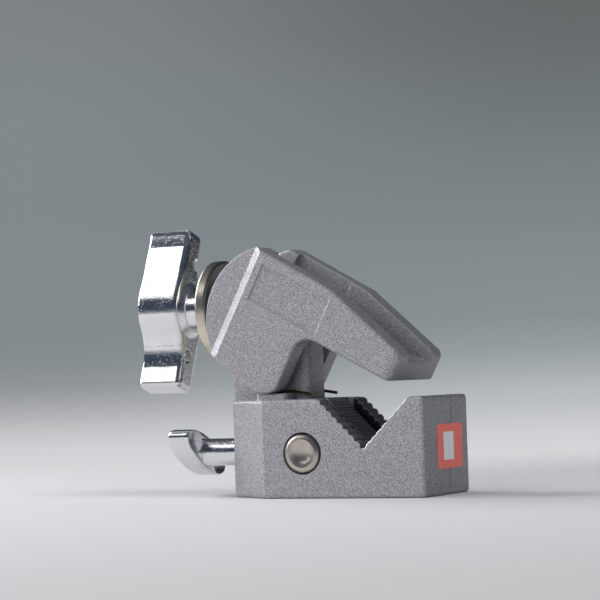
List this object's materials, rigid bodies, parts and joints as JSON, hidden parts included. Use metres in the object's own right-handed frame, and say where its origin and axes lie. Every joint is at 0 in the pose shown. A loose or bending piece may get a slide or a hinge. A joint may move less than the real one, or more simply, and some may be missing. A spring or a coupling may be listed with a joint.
{
  "type": "camera mounting clamp",
  "caption": "Screw-driven jaw clamp with a toothed V jaw, a rocking channel-shaped upper jaw, a wing handle, and a latched hexagonal stud socket with a locking screw.",
  "frame": {"origin": "centre of the mouth of the hexagonal stud socket, on the flat base of the fixed jaw", "axes": "+X from the wing handle to the jaw tips along the clamping screw, +Y across the jaws away from the latch button, +Z from the base towards the moving jaw"},
  "size_m": [0.1185, 0.0395, 0.0987],
  "materials": {
    "cast_coat": "silver-grey stoved coat, fine grain",
    "polished_chrome": "polished",
    "bright_steel": "bright zinc",
    "black_steel": "blackened",
    "spring_steel": "oiled spring steel",
    "nickel": "nickel, turned",
    "satin_nickel": "satin nickel",
    "brass": "turned",
    "bronzed_wire": "bronzed spring wire",
    "label": "printed film"
  },
  "bodies": {
    "base": {"fixed_jaw": "cast_coat", "latch_stop_pin": "bright_steel", "jaw_spring": "bronzed_wire", "latch_spring": "spring_steel", "end_label": "label"},
    "upper_jaw": {"moving_jaw": "cast_coat"},
    "washer": {"pressure_washer": "nickel"},
    "handle": {"wing_handle": "polished_chrome", "clamp_bolt": "bright_steel", "handle_grub_screw": "black_steel", "washer_retaining_ring": "spring_steel", "bolt_stop_ring": "spring_steel"},
    "latch": {"latch_button": "satin_nickel", "latch_stem": "bright_steel"},
    "lock_pad": {"lock_screw_pad": "brass"},
    "lock_screw": {"lock_screw_head": "polished_chrome", "lock_screw_stud": "bright_steel"}
  },
  "joints": [
    {"name": "jaw_hinge", "type": "hinge", "parent": "base", "child": "upper_jaw", "pos_m": [-0.00375, 0, 0.0515], "axis": [0, 1, 0], "range_deg": [-32.7, 12.35], "deforming": ["jaw_spring"]},
    {"name": "washer_feed", "type": "slide", "parent": "base", "child": "washer", "axis": [1, 0, 0], "range_m": [-0.00685, 0.0026]},
    {"name": "handle_turn", "type": "hinge", "parent": "washer", "child": "handle", "pos_m": [-0.04, 0, 0.0685], "axis": [1, 0, 0], "range_deg": [-1640, 620]},
    {"name": "latch_push", "type": "slide", "parent": "base", "child": "latch", "axis": [0, 1, 0], "range_m": [0, 0.005], "stiffness_N_per_m": 800, "springref_m": -0.002, "deforming": ["latch_spring"]},
    {"name": "lock_feed", "type": "slide", "parent": "base", "child": "lock_pad", "axis": [1, 0, 0], "range_m": [-0.01049, 0.00899]},
    {"name": "lock_turn", "type": "hinge", "parent": "lock_pad", "child": "lock_screw", "pos_m": [-0.03, 0, 0.0162], "axis": [1, 0, 0], "range_deg": [-2520, 2160]}
  ],
  "couplings": [
    {"joint": "handle_turn", "follows": "jaw_hinge", "ratio": 50.105},
    {"joint": "washer_feed", "follows": "jaw_hinge", "m_per_rad": 0.011962},
    {"joint": "lock_turn", "follows": "lock_feed", "rad_per_m": 4188.8}
  ]
}
